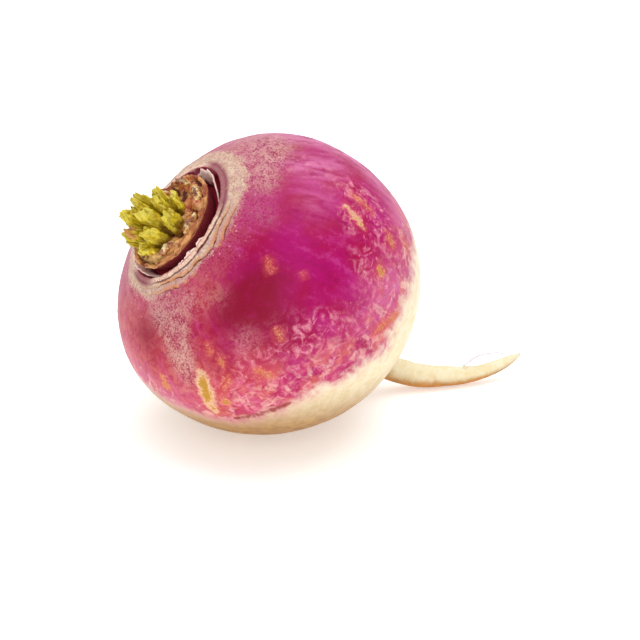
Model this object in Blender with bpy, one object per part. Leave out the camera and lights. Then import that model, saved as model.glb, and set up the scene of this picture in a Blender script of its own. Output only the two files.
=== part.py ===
"""A purple-top turnip as it lies on a table: on a small flat of its bulb, with the taproot behind it.

The bulb and its taproot grew as one piece, so they are one closed skin. On the crown stand the trimmed
leaves: a low stump, the cut outer leaf bases, a tuft of inner stalks and a few papery scale leaves. One
fine side rootlet arches over the taproot.

Every piece is modelled in the axis frame: Z runs up the crown axis from the bulb's centre, X is the side
of the crown that ends up highest, and Y is level. An empty leans that frame over and lifts it, so that
the flat of the bulb lies on the ground at the world's origin.
"""

import math

import bmesh
import bpy
from mathutils import Euler, Matrix, Vector, noise

MM = 0.001

# How it lies
CROWN_LEAN = math.radians(39)  # crown axis above the horizon
REST_SPOT_DEPTH = 0.55 * MM  # how far the bulb is pressed flat where it rests

# Bulb
BULB_RADIUS = 38.0 * MM
CROWN_RISE = 32.6 * MM  # bulb centre to the top of the dome, were the crown not sunk
BASE_DROP = 36.4 * MM  # bulb centre to the bottom of the bowl
SHOULDER_POWER = 2.2  # 2 would be an ellipse, more is squarer
BASE_POWER = 2.05
LOBE_HEIGHT = 0.45 * MM  # unevenness of the bulb
LOBE_SIZE = 26.0 * MM
FULL_SIDE = 1.3 * MM  # extra fullness of the shoulder on the low side
SQUAT = 0.9 * MM  # how much flatter the upper and lower sides are, as the bulb lies
BULB_SIDES = 40

# Neck and taproot
NECK_RADIUS = 9.0 * MM  # where the bowl starts to draw in
ROOT_START_RADIUS = 4.2 * MM
NECK_LENGTH = 5.6 * MM
TAPROOT_CLEAR = 0.35 * MM  # the taproot's lowest stretch lies this close to the ground

# Taproot past the neck: how far along and sideways in mm, how far its underside rises as a share of
# the neck's height above the ground, and its radius in mm
TAPROOT = [
    (3.1, -1.0, 0.288, 3.4),
    (6.6, -2.3, 0.127, 3.2),
    (11.6, -4.2, 0, 3.05),
    (16.6, -6.2, 0, 2.7),
    (21.6, -7.7, 0.005, 2.35),
    (26.5, -8.8, 0.07, 1.9),
    (32.3, -9.1, 0.175, 1.6),
    (36.5, -8.8, 0.307, 1.1),
    (39.7, -8.3, 0.448, 0.3),
]
TAPROOT_STEPS = 3  # rings between two route points

# Side rootlet's arch: how far along and sideways as above, and its height over the taproot's top, in mm
ROOTLET = [
    (21.8, -8.3, 0.55),
    (24.3, -8.2, 1.8),
    (26.9, -8.1, 2.55),
    (29.9, -8.0, 2.2),
    (32.8, -7.9, 1.55),
    (34.8, -8.6, 0.75),
]
ROOTLET_RADIUS = 0.22 * MM
ROOTLET_STEPS = 4

# The crown, from the tuft of stalks in its middle outwards. It is an oval, narrower from side to side
GAP = 0.35 * MM  # between pieces that touch
CROWN_OVAL = 0.87
CROWN_SHIFT = 0.5 * MM  # of the crown's rings to the high side
STUMP_SHIFT = 0.7 * MM  # of the stump back to the low side, within those rings

STALK_COUNT = 15
STALK_WIDTH = 2.8 * MM
STALK_SPACING = 0.62 * STALK_WIDTH  # of the spiral that sets where the stalks stand
STALK_HEIGHT = 12.0 * MM
STALK_SHORTEN = 0.5 * MM  # each stalk further out is this much shorter
STALK_LEAN = math.radians(34)  # of the outermost stalks
GOLDEN_TURN = math.radians(137.508)
TUFT_RADIUS = STALK_SPACING * math.sqrt(STALK_COUNT) + STALK_WIDTH / 2
TUFT_SHIFT = 2.4 * MM  # to the low side, where no leaf base stands

BASE_COUNT = 6
BASE_ROOM = 1.9 * MM  # between the tuft and the leaf bases
BASE_THICK = 1.8 * MM
BASE_RING = TUFT_RADIUS + BASE_ROOM + BASE_THICK / 2
BASE_FIRST = math.radians(-125)  # bearings of the first and last leaf base
BASE_LAST = math.radians(125)
BASE_SPAN = math.radians(38)
BASE_FLARE = 0.2 * MM
BASE_HEIGHTS = [2.3, 1.6, 2.2, 2.9, 2.5, 1.9]  # mm, round the ring

CUP_ROOM = 0.55 * MM  # between the leaf bases and the rim of the stump
CUP_DEPTH = 1.9 * MM
HEART_RISE = 0.7 * MM  # how far the cup's middle rises again
CUP_RADIUS = BASE_RING + BASE_THICK / 2 + CUP_ROOM
RIM_WALL = 1.3 * MM
RIM_HEIGHT = 5.35 * MM  # above the stump's underside
RIM_ROUND = 0.5 * MM
STUMP_RIM = CUP_RADIUS + RIM_WALL
STUMP_DRAW_IN = 1.8 * MM  # how much narrower the stump is at its foot
STUMP_FOOT = STUMP_RIM - STUMP_DRAW_IN

MOAT_WIDTH = 0.6 * MM  # between the stump's rim and the dish's edge, on the low side
DISH_RADIUS = STUMP_RIM + STUMP_SHIFT + MOAT_WIDTH
MOAT_SLOPE = 1.1 * MM  # how much wider the moat is at its lip than at its floor
LIP_RADIUS = DISH_RADIUS + MOAT_SLOPE
LIP_WIDTH = 1.4 * MM
LIP_RISE = 0.3 * MM  # above the dome
DISH_DEPTH = 3.3 * MM  # below the lip
BAND_WIDTH = 4.3 * MM
BAND_RISE = 0.25 * MM
BAND_RADIUS = LIP_RADIUS + LIP_WIDTH + BAND_WIDTH

# Scale leaves in the moat: first and last bearing in degrees, height in mm, and where they stand
# between the stump, 0, and the moat's wall, 1
SCALES = {
    "scale_leaf_1": (-44, 30, 4.3, 0.45),
    "scale_leaf_2": (44, 118, 3.2, 0.6),
    "scale_leaf_3": (130, 198, 3.8, 0.7),
    "scale_leaf_4": (208, 308, 3.6, 1.0),
}
SCALE_THICK = 0.5 * MM

SKIN = ("turnip_skin", (0.50, 0.05, 0.22), 0.42)
STUMP = ("crown_stump", (0.40, 0.17, 0.06), 0.70)
BASES = ("leaf_base", (0.55, 0.30, 0.12), 0.70)
STALKS = ("leaf_stalk", (0.60, 0.52, 0.07), 0.55)
PAPER = ("scale_leaf", (0.68, 0.42, 0.34), 0.75)
ROOTLETS = ("side_rootlet", (0.72, 0.66, 0.62), 0.70)


def clear_scene():
    for obj in list(bpy.data.objects):
        bpy.data.objects.remove(obj)


def material(finish):
    name, colour, roughness = finish
    made = bpy.data.materials.get(name) or bpy.data.materials.new(name)
    made.use_nodes = True
    shader = made.node_tree.nodes["Principled BSDF"]
    shader.inputs["Base Color"].default_value = (*colour, 1)
    shader.inputs["Roughness"].default_value = roughness
    shader.inputs["Metallic"].default_value = 0
    made.diffuse_color = (*colour, 1)
    return made


def add_object(name, bm, finish, parent):
    mesh = bpy.data.meshes.new(name)
    bm.to_mesh(mesh)
    bm.free()
    mesh.materials.append(material(finish))
    mesh.shade_smooth()
    mesh.set_sharp_from_angle(angle=math.radians(50))
    obj = bpy.data.objects.new(name, mesh)
    bpy.context.scene.collection.objects.link(obj)
    obj.parent = parent
    return obj


def loft(sections):
    """A closed skin through the sections, which are loops of as many points each, both ends capped."""
    bm = bmesh.new()
    turn = bm.verts.layers.int.new("turn")
    ring = bmesh.ops.create_circle(bm, segments=len(sections[0]), radius=1)["verts"]
    for index, vert in enumerate(ring):
        vert[turn] = index
        vert.co = sections[0][index]
    edges = list(bm.edges)
    caps = [list(edges)]
    for section in sections[1:]:
        grown = bmesh.ops.extrude_edge_only(bm, edges=edges)["geom"]
        edges = [part for part in grown if isinstance(part, bmesh.types.BMEdge)]
        for vert in grown:
            if isinstance(vert, bmesh.types.BMVert):
                vert.co = section[vert[turn]]
    caps.append(edges)
    for cap in caps:
        faces = bmesh.ops.contextual_create(bm, geom=cap)["faces"]
        bmesh.ops.poke(bm, faces=faces)
    bmesh.ops.recalc_face_normals(bm, faces=bm.faces)
    return bm


def circle_points(sides):
    return [2 * math.pi * index / sides for index in range(sides)]


# Bulb and taproot


def dome_height(radius):
    """Height of the unsunk crown at a distance from the axis."""
    return CROWN_RISE * (1 - (radius / BULB_RADIUS) ** SHOULDER_POWER) ** (1 / SHOULDER_POWER)


def bowl_height(radius):
    """Height of the lower half at a distance from the axis, below the bulb's centre."""
    return -BASE_DROP * (1 - (radius / BULB_RADIUS) ** BASE_POWER) ** (1 / BASE_POWER)


def lip_height():
    return dome_height(LIP_RADIUS) + LIP_RISE


def dish_floor():
    return lip_height() - DISH_DEPTH


def moat_wall(height):
    """Distance of the moat's outer wall from the crown's middle: straight up to the lip."""
    return DISH_RADIUS + MOAT_SLOPE * min(1, max(0, (height - dish_floor()) / DISH_DEPTH))


def crown_profile():
    """Distance from the crown's middle and height, from the dish out to the band's edge."""
    wall_middle = dish_floor() + DISH_DEPTH / 2
    lip_middle = LIP_RADIUS + LIP_WIDTH / 2
    lip_foot = LIP_RADIUS + LIP_WIDTH
    band_middle = lip_foot + BAND_WIDTH / 2
    return [
        (0.35 * DISH_RADIUS, dish_floor()),
        (0.7 * DISH_RADIUS, dish_floor()),
        (DISH_RADIUS, dish_floor()),
        (moat_wall(wall_middle), wall_middle),
        (LIP_RADIUS, lip_height()),
        (lip_middle, dome_height(lip_middle) + LIP_RISE),
        (lip_foot, dome_height(lip_foot) + BAND_RISE),
        (band_middle, dome_height(band_middle) + BAND_RISE),
        (BAND_RADIUS, dome_height(BAND_RADIUS) + BAND_RISE),
    ]


def dome_profile(steps=9):
    """From just outside the band to the equator."""
    start = math.acos((1.09 * BAND_RADIUS / BULB_RADIUS) ** (SHOULDER_POWER / 2))
    points = []
    for step in range(steps):
        angle = start * (1 - step / steps)
        radius = BULB_RADIUS * math.cos(angle) ** (2 / SHOULDER_POWER)
        points.append((radius, CROWN_RISE * math.sin(angle) ** (2 / SHOULDER_POWER)))
    return points


def bowl_profile(steps=10):
    """From the equator to where the neck starts."""
    end = math.acos((NECK_RADIUS / BULB_RADIUS) ** (BASE_POWER / 2))
    points = []
    for step in range(steps + 1):
        angle = end * step / steps
        radius = BULB_RADIUS * math.cos(angle) ** (2 / BASE_POWER)
        points.append((radius, -BASE_DROP * math.sin(angle) ** (2 / BASE_POWER)))
    return points


def neck_profile(steps=4):
    """The bowl drawing in to the taproot, as a hollow curve."""
    top = bowl_height(NECK_RADIUS)
    points = []
    for step in range(1, steps + 1):
        share = step / steps
        radius = ROOT_START_RADIUS + (NECK_RADIUS - ROOT_START_RADIUS) * (1 - share) ** 2.4
        points.append((radius, top - NECK_LENGTH * share**1.5))
    return points


def unevenness(point, radius):
    """How far the skin stands off the plain turned shape, none on the crown and the neck."""
    on_body = min(1, max(0, (radius - BAND_RADIUS) / (0.5 * BAND_RADIUS)))
    lobes = LOBE_HEIGHT * noise.noise(point / LOBE_SIZE)
    low_side = max(0, -point.x / BULB_RADIUS) * max(0, 0.5 + point.z / BULB_RADIUS)
    upward = Vector((math.cos(CROWN_LEAN), 0, math.sin(CROWN_LEAN)))
    squat = SQUAT * point.normalized().dot(upward) ** 2
    return on_body * (lobes + FULL_SIDE * low_side - squat)


def crown_share(radius, height):
    """1 on the crown, where the oval is full, fading to 0 at the equator and below."""
    if height <= 0:
        return 0
    share = min(1, max(0, (BULB_RADIUS - radius) / (BULB_RADIUS - BAND_RADIUS)))
    return share * share * (3 - 2 * share)


def bulb_sections():
    sections = []
    for radius, height in crown_profile() + dome_profile() + bowl_profile() + neck_profile():
        share = crown_share(radius, height)
        across = radius * (1 - (1 - CROWN_OVAL) * share)
        loop = []
        for turn in circle_points(BULB_SIDES):
            side = CROWN_SHIFT * share + radius * math.cos(turn)
            point = Vector((side, across * math.sin(turn), height))
            loop.append(point + unevenness(point, radius) * point.normalized())
        sections.append(loop)
    return sections


def smooth_line(points, steps):
    """The points with steps - 1 more between each two, on a Catmull-Rom curve through them."""
    ends = [2 * points[0] - points[1], *points, 2 * points[-1] - points[-2]]
    line = []
    for index in range(1, len(ends) - 2):
        before, start, stop, after = ends[index - 1 : index + 3]
        for step in range(steps):
            t = step / steps
            line.append(
                0.5
                * (
                    2 * start
                    + (stop - before) * t
                    + (2 * before - 5 * start + 4 * stop - after) * t**2
                    + (3 * start - before - 3 * stop + after) * t**3
                )
            )
    return [*line, points[-1]]


def carried_rings(centres, radii, sides, first_side, start_direction):
    """Rings square to the line through the centres, carried along it without twist."""
    direction, side = start_direction, first_side
    rings = []
    for index, centre in enumerate(centres):
        before, after = centres[max(0, index - 1)], centres[min(len(centres) - 1, index + 1)]
        heading = (after - before).normalized()
        side = direction.rotation_difference(heading) @ side
        direction = heading
        other = direction.cross(side)
        rings.append(
            [
                centre + radii[index] * (math.cos(turn) * side - math.sin(turn) * other)
                for turn in circle_points(sides)
            ]
        )
    return rings


def neck_end():
    """The middle of the neck's last ring, in the axis frame."""
    return Vector((0, 0, bowl_height(NECK_RADIUS) - NECK_LENGTH))


def taproot_stations(axis_to_ground):
    """Middle and radius of the taproot at each route point, on the ground's frame."""
    neck = axis_to_ground @ neck_end()
    stations = [Vector((*neck, ROOT_START_RADIUS))]
    for along, sideways, rise, radius in TAPROOT:
        height = TAPROOT_CLEAR + rise * neck.z + radius * MM
        stations.append(Vector((neck.x + along * MM, sideways * MM, height, radius * MM)))
    return stations


def taproot_top(stations, x):
    """Height of the taproot's top at a place along the ground."""
    for start, stop in zip(stations, stations[1:]):
        if x <= stop.x:
            between = start.lerp(stop, (x - start.x) / (stop.x - start.x))
            return between.z + between.w
    return stations[-1].z + stations[-1].w


def taproot_sections(stations, ground_to_axis):
    """Rings along the taproot, in the axis frame."""
    line = smooth_line(stations, TAPROOT_STEPS)[1:]
    centres = [ground_to_axis @ station.xyz for station in line]
    radii = [station.w for station in line]
    return carried_rings(centres, radii, BULB_SIDES, Vector((1, 0, 0)), Vector((0, 0, -1)))


def make_root(parent, axis_to_ground):
    ground_to_axis = axis_to_ground.inverted()
    stations = taproot_stations(axis_to_ground)
    bm = loft(bulb_sections() + taproot_sections(stations, ground_to_axis))
    everything = [*bm.verts, *bm.edges, *bm.faces]
    cut = bmesh.ops.bisect_plane(
        bm,
        geom=everything,
        plane_co=ground_to_axis.translation,
        plane_no=ground_to_axis.to_3x3() @ Vector((0, 0, 1)),
        clear_inner=True,
    )["geom_cut"]
    bmesh.ops.contextual_create(bm, geom=[part for part in cut if isinstance(part, bmesh.types.BMEdge)])
    bmesh.ops.recalc_face_normals(bm, faces=bm.faces)
    return add_object("bulb_and_taproot", bm, SKIN, parent)


def make_rootlet(parent, axis_to_ground):
    ground_to_axis = axis_to_ground.inverted()
    stations = taproot_stations(axis_to_ground)
    route = []
    for along, sideways, above in ROOTLET:
        x = stations[0].x + along * MM
        height = taproot_top(stations, x) + above * MM
        route.append(ground_to_axis @ Vector((x, sideways * MM, height)))
    line = smooth_line(route, ROOTLET_STEPS)
    heading = (line[1] - line[0]).normalized()
    last = len(line) - 1
    radii = [ROOTLET_RADIUS * (1 - 0.5 * index / last) for index in range(last + 1)]
    rings = carried_rings(line, radii, 6, heading.orthogonal().normalized(), heading)
    return add_object("side_rootlet", loft(rings), ROOTLETS, parent)


# Crown pieces. Bearings run round the crown axis, from the side that ends up highest


def crown_point(radius, bearing, height):
    """A place on the oval crown, measured from the middle of its rings."""
    return Vector((CROWN_SHIFT + radius * math.cos(bearing), CROWN_OVAL * radius * math.sin(bearing), height))


def stump_point(radius, bearing, height):
    """A place on the stump, measured from its own middle."""
    return crown_point(radius, bearing, height) - Vector((STUMP_SHIFT, 0, 0))


def stump_foot():
    return dish_floor() + GAP


def stump_wall(bearing, height):
    """Distance of the stump's outer wall from the middle of the crown's rings."""
    straight = RIM_HEIGHT - 2 * RIM_ROUND
    share = min(1, max(0, (height - stump_foot() - RIM_ROUND) / straight))
    radius = STUMP_FOOT + STUMP_DRAW_IN * share
    sideways = STUMP_SHIFT * math.sin(bearing)
    return math.sqrt(radius**2 - sideways**2) - STUMP_SHIFT * math.cos(bearing)


def cup_floor(radius):
    """Height of the stump's cupped top, inside its rim."""
    heart = HEART_RISE * max(0, 1 - (radius / CUP_RADIUS) ** 2)
    return stump_foot() + RIM_HEIGHT - CUP_DEPTH + heart


def make_stump(parent):
    foot = stump_foot()
    rim = foot + RIM_HEIGHT
    profile = [
        (0.5 * STUMP_FOOT, foot),
        (STUMP_FOOT - 0.4 * MM, foot),
        (STUMP_FOOT, foot + RIM_ROUND),
        ((STUMP_FOOT + STUMP_RIM) / 2, foot + RIM_HEIGHT / 2),
        (STUMP_RIM, rim - RIM_ROUND),
        (STUMP_RIM - 0.25 * RIM_WALL, rim),
        (STUMP_RIM - 0.7 * RIM_WALL, rim - 0.2 * MM),
        (CUP_RADIUS, cup_floor(CUP_RADIUS)),
        (0.66 * CUP_RADIUS, cup_floor(0.66 * CUP_RADIUS)),
        (0.3 * CUP_RADIUS, cup_floor(0.3 * CUP_RADIUS)),
    ]
    turns = circle_points(36)
    sections = [[stump_point(radius, turn, height) for turn in turns] for radius, height in profile]
    return add_object("crown_stump", loft(sections), STUMP, parent)


def make_leaf_base(number, parent):
    """A crescent-shaped foot of an outer leaf, cut off low."""
    bearing = BASE_FIRST + (BASE_LAST - BASE_FIRST) * number / (BASE_COUNT - 1)
    height = BASE_HEIGHTS[number] * MM
    foot = cup_floor(BASE_RING - BASE_THICK / 2) + GAP
    sections = []
    for share in (0, 0.5, 0.9, 1):
        loop = []
        for turn in circle_points(14):
            across = 0.5 * BASE_SPAN * math.cos(turn) * (1 - 0.12 * share)
            out = 0.5 * BASE_THICK * math.sin(turn) * (1 - 0.3 * share**4)
            level = foot + share * height * (1 - 0.35 * math.cos(turn) ** 2 * share)
            loop.append(stump_point(BASE_RING + out + BASE_FLARE * share, bearing + across, level))
        sections.append(loop)
    return add_object(f"leaf_base_{number + 1:02}", loft(sections), BASES, parent)


def make_stalk(number, parent):
    """A trimmed inner leaf stalk, grooved on the side that faces the tuft's middle."""
    distance = STALK_SPACING * math.sqrt(number + 0.25)
    bearing = GOLDEN_TURN * number
    outward = distance / (STALK_SPACING * math.sqrt(STALK_COUNT))
    height = STALK_HEIGHT - STALK_SHORTEN * number
    foot = stump_point(distance, bearing, cup_floor(0) + GAP) - Vector((TUFT_SHIFT, 0, 0))
    out = Vector((math.cos(bearing), math.sin(bearing), 0))
    along = Vector((-math.sin(bearing), math.cos(bearing), 0))
    up = Vector((0, 0, 1))
    sections = []
    centre = foot
    steps = 6
    for step in range(steps + 1):
        share = step / steps
        lean = STALK_LEAN * outward * share
        heading = math.cos(lean) * up + math.sin(lean) * out
        face = math.cos(lean) * out - math.sin(lean) * up
        if step:
            centre = centre + heading * height / steps
        half = 0.5 * STALK_WIDTH * (1 - 0.22 * share) * (1 - 0.25 * (share == 1))
        loop = []
        for turn in circle_points(10):
            groove = 1 - 0.35 * max(0, -math.cos(turn)) ** 3
            thick = 0.78 * half * math.cos(turn) * groove
            loop.append(centre + face * thick + along * half * math.sin(turn))
        sections.append(loop)
    return add_object(f"leaf_stalk_{number + 1:02}", loft(sections), STALKS, parent)


def make_scale(name, parent):
    """A dry scale leaf: a thin strip that stands in the moat, lower at both ends."""
    first, last, height, place = SCALES[name]
    foot = dish_floor() + GAP
    steps = 12
    sections = []
    for step in range(steps + 1):
        share = step / steps
        bearing = math.radians(first + (last - first) * share)
        tall = height * MM * (0.3 + 0.7 * math.sin(math.pi * share) ** 0.6)
        loop = []
        for outward, level in ((0, 0), (1, 0), (1, 0.5), (1, 0.9), (0.5, 1), (0, 0.9), (0, 0.5)):
            nearest = stump_wall(bearing, foot + tall * level) + GAP
            furthest = moat_wall(foot + tall * level) - GAP - SCALE_THICK
            radius = nearest + place * (furthest - nearest) + outward * SCALE_THICK
            loop.append(crown_point(radius, bearing, foot + tall * level))
        sections.append(loop)
    return add_object(name, loft(sections), PAPER, parent)


def axis_empty():
    """The empty that leans the axis frame and sets the pressed flat of the bulb on the ground."""
    lean = Euler((0, CROWN_LEAN - math.pi / 2, 0)).to_matrix()
    lowest = min((lean @ point).z for loop in bulb_sections() for point in loop)
    resting = [lean @ point for loop in bulb_sections() for point in loop if (lean @ point).z < lowest + MM]
    middle = sum(resting, Vector()) / len(resting)
    empty = bpy.data.objects.new("crown_axis", None)
    bpy.context.scene.collection.objects.link(empty)
    empty.rotation_euler = lean.to_euler()
    empty.location = (-middle.x, 0, -lowest - REST_SPOT_DEPTH)
    return empty, Matrix.LocRotScale(empty.location, lean, None)


def main():
    clear_scene()
    axis, axis_to_ground = axis_empty()
    make_root(axis, axis_to_ground)
    make_rootlet(axis, axis_to_ground)
    make_stump(axis)
    for number in range(BASE_COUNT):
        make_leaf_base(number, axis)
    for number in range(STALK_COUNT):
        make_stalk(number, axis)
    for name in SCALES:
        make_scale(name, axis)


main()
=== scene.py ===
import math

import bmesh
import bpy
from mathutils import Matrix, Vector, noise


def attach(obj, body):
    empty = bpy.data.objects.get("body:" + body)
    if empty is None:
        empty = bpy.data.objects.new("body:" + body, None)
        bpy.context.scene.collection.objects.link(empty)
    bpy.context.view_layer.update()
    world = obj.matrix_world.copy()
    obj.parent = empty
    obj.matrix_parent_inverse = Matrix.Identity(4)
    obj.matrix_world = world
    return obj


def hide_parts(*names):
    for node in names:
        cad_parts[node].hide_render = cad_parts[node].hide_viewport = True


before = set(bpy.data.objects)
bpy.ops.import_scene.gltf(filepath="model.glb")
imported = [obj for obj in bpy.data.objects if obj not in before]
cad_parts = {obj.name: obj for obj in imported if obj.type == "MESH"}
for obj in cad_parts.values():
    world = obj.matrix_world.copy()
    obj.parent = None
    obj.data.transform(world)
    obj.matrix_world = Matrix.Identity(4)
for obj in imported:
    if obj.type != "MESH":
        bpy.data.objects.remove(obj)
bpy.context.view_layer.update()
print("frame loaded:", len(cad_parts), "nodes")

mm = 0.001

# The turnip is shaped upright round its crown axis, in mm: z up the axis, x to the side that ends highest.
# Then it is laid down on the flat of its bulb.
lying = {
    "lean": math.radians(39),  # crown axis above the floor
    "middle": (-0.04, 0.0, 36.37),  # middle of the bulb over the floor's origin
}
laidDown = Matrix.Translation(lying["middle"]) @ Matrix.Rotation(lying["lean"] - math.pi / 2, 4, "Y")
upright = laidDown.inverted()


# Sums that every piece uses

def smoothStep(low, high, value):
    share = min(1, max(0, (value - low) / (high - low)))
    return share * share * (3 - 2 * share)


def eased(points, value):  # through (place, amount) pairs
    for (start, first), (stop, last) in zip(points, points[1:]):
        if value <= stop:
            return first + (last - first) * smoothStep(start, stop, value)
    return points[-1][1]


def ripple(place, size, shift=0):
    return noise.noise(place / size + Vector((shift, 1.7 * shift, 0)))


def circle(sides):
    return [2 * math.pi * index / sides for index in range(sides)]


def smoothLine(points, steps):  # Catmull-Rom through the points
    ends = [2 * points[0] - points[1], *points, 2 * points[-1] - points[-2]]
    line = []
    for index in range(1, len(ends) - 2):
        before, start, stop, after = ends[index - 1 : index + 3]
        for step in range(steps):
            t = step / steps
            bend = (2 * before - 5 * start + 4 * stop - after) * t**2
            turn = (3 * start - before - 3 * stop + after) * t**3
            line.append(0.5 * (2 * start + (stop - before) * t + bend + turn))
    return [*line, points[-1]]


def loft(sections):
    # a closed skin through loops of as many points each; every vertex knows its ring and its turn
    bm = bmesh.new()
    turn = bm.verts.layers.int.new("turn")
    ring = bm.verts.layers.int.new("ring")
    first = bmesh.ops.create_circle(bm, segments=len(sections[0]), radius=1)["verts"]
    for index, vert in enumerate(first):
        vert[turn] = index
        vert.co = sections[0][index]
    edges = list(bm.edges)
    caps = [list(edges)]
    for number, section in enumerate(sections[1:], 1):
        grown = bmesh.ops.extrude_edge_only(bm, edges=edges)["geom"]
        edges = [part for part in grown if isinstance(part, bmesh.types.BMEdge)]
        for vert in grown:
            if isinstance(vert, bmesh.types.BMVert):
                vert[ring] = number
                vert.co = section[vert[turn]]
    caps.append(edges)
    for number, cap in zip((0, len(sections) - 1), caps):
        faces = bmesh.ops.contextual_create(bm, geom=cap)["faces"]
        for vert in bmesh.ops.poke(bm, faces=faces)["verts"]:
            vert[ring] = number
    bmesh.ops.recalc_face_normals(bm, faces=bm.faces)
    bm.normal_update()
    return bm


def newLayers(bm, *names):  # numbers on the vertices, for the materials
    return {name: bm.verts.layers.float.new(name) for name in names}


def tell(vert, layers, told):
    for name, value in told.items():
        vert[layers[name]] = value


def carriedRings(centres, radii, sides, side, direction):
    # rings square to the line through the centres, carried along it without twist
    rings = []
    for index, centre in enumerate(centres):
        before, after = centres[max(0, index - 1)], centres[min(len(centres) - 1, index + 1)]
        heading = (after - before).normalized()
        side = direction.rotation_difference(heading) @ side
        direction = heading
        other = direction.cross(side)
        spokes = [math.cos(t) * side - math.sin(t) * other for t in circle(sides)]
        rings.append([centre + radii[index] * spoke for spoke in spokes])
    return rings


def addPiece(name, bm, material):
    # lays the shape down, and lets it stand for its CAD node
    bmesh.ops.transform(bm, matrix=Matrix.Scale(mm, 4) @ laidDown, verts=bm.verts)
    for vert in bm.verts:
        vert.co.z = max(0, vert.co.z)
    bmesh.ops.recalc_face_normals(bm, faces=bm.faces)
    mesh = bpy.data.meshes.new(name + "_look")
    bm.to_mesh(mesh)
    bm.free()
    mesh.materials.append(material)
    mesh.shade_smooth()
    piece = bpy.data.objects.new(name + "_look", mesh)
    bpy.context.scene.collection.objects.link(piece)
    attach(piece, "root")
    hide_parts(name)
    return piece


# Shader helpers

def colour(text):  # from the usual six-letter colour to the linear one that shaders take
    parts = [int(text[index : index + 2], 16) / 255 for index in (0, 2, 4)]
    return (*[part / 12.92 if part <= 0.04045 else ((part + 0.055) / 1.055) ** 2.4 for part in parts], 1)


def feed(node, key, value):  # a link or a fixed value
    if isinstance(value, bpy.types.NodeSocket):
        node.id_data.links.new(value, node.inputs[key])
    else:
        node.inputs[key].default_value = value


def addNode(tree, kind, inputs=None, **settings):
    node = tree.nodes.new(kind)
    for key, value in settings.items():
        setattr(node, key, value)
    for key, value in (inputs or {}).items():
        feed(node, key, value)
    return node


def treeOf(*values):  # a socket knows its own node tree
    return next(value.id_data for value in values if isinstance(value, bpy.types.NodeSocket))


def calc(operation, first, second=0.0):
    inputs = {0: first, 1: second}
    return addNode(treeOf(first, second), "ShaderNodeMath", inputs, operation=operation).outputs[0]


def plus(*values):
    total = values[0]
    for value in values[1:]:
        total = calc("ADD", total, value)
    return total


def times(*values):
    total = values[0]
    for value in values[1:]:
        total = calc("MULTIPLY", total, value)
    return total


def less(first, second):
    return calc("SUBTRACT", first, second)


def swing(value, reach):  # a cloud that swings to both sides of 0
    return times(plus(value, -0.5), reach)


def smooth(value, low, high):
    inputs = {"Value": value, "From Min": low, "From Max": high}
    return addNode(treeOf(value), "ShaderNodeMapRange", inputs, interpolation_type="SMOOTHSTEP").outputs[0]


def mixed(mask, first, second):  # sockets or six-letter colours
    first, second = [colour(tone) if isinstance(tone, str) else tone for tone in (first, second)]
    inputs = {0: mask, 6: first, 7: second}
    return addNode(treeOf(mask), "ShaderNodeMix", inputs, data_type="RGBA").outputs[2]


def paint(tones, base, *coats):  # each coat is a mask, and a tone's name or a socket
    for mask, tone in coats:
        base = mixed(mask, base, tones[tone] if isinstance(tone, str) else tone)
    return base


def cloud(vector, size, detail=2.0, rough=0.5, distortion=0.0):
    inputs = {"Vector": vector, "Scale": 1 / size, "Detail": detail}
    inputs |= {"Roughness": rough, "Distortion": distortion}
    return addNode(vector.id_data, "ShaderNodeTexNoise", inputs).outputs["Fac"]


def stretched(vector, by):
    inputs = {0: vector, 1: by}
    return addNode(vector.id_data, "ShaderNodeVectorMath", inputs, operation="MULTIPLY").outputs[0]


def field(tree, name, part="Fac"):
    return addNode(tree, "ShaderNodeAttribute", attribute_name=name).outputs[part]


def spotInMm(tree):
    place = addNode(tree, "ShaderNodeTexCoord").outputs["Object"]
    return addNode(tree, "ShaderNodeVectorMath", {0: place, "Scale": 1 / mm}, operation="SCALE").outputs[0]


def startMaterial(name, roughness):
    made = bpy.data.materials.new(name)
    made.use_nodes = True
    shader = made.node_tree.nodes["Principled BSDF"]
    feed(shader, "Roughness", roughness)
    return made, made.node_tree, shader


def dress(shader, base, roughness, height, strength, distance):  # the last two say how strong a bump
    feed(shader, "Base Color", base)
    feed(shader, "Roughness", roughness)
    inputs = {"Height": height, "Strength": strength, "Distance": distance * mm}
    feed(shader, "Normal", addNode(shader.id_data, "ShaderNodeBump", inputs).outputs[0])


def addGlow(shader, weight, radius, scale):  # light that goes into the flesh and comes out again
    feed(shader, "Subsurface Weight", weight)
    feed(shader, "Subsurface Radius", radius)
    feed(shader, "Subsurface Scale", scale * mm)


def makeGroup(name, values):
    group = bpy.data.node_groups.new(name, "ShaderNodeTree")
    group.interface.new_socket("Vector", in_out="INPUT", socket_type="NodeSocketVector")
    for key, value in values.items():
        socket = group.interface.new_socket(key, in_out="INPUT", socket_type="NodeSocketFloat")
        socket.default_value = value
    group.interface.new_socket("Mask", in_out="OUTPUT", socket_type="NodeSocketFloat")
    return group, addNode(group, "NodeGroupInput").outputs


def closeGroup(group, mask):
    addNode(group, "NodeGroupOutput", {"Mask": mask})
    return group


# Effects for the materials, each a mask

def blotchGroup():  # soft patches
    group, given = makeGroup("blotches", {"Scale": 0.2, "Cover": 0.5, "Edge": 0.1})
    inputs = {"Vector": given["Vector"], "Scale": given["Scale"], "Detail": 4.0, "Roughness": 0.62}
    cloudy = addNode(group, "ShaderNodeTexNoise", inputs).outputs["Fac"]
    level = less(0.72, times(given["Cover"], 0.44))
    return closeGroup(group, smooth(cloudy, less(level, given["Edge"]), plus(level, given["Edge"])))


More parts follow.
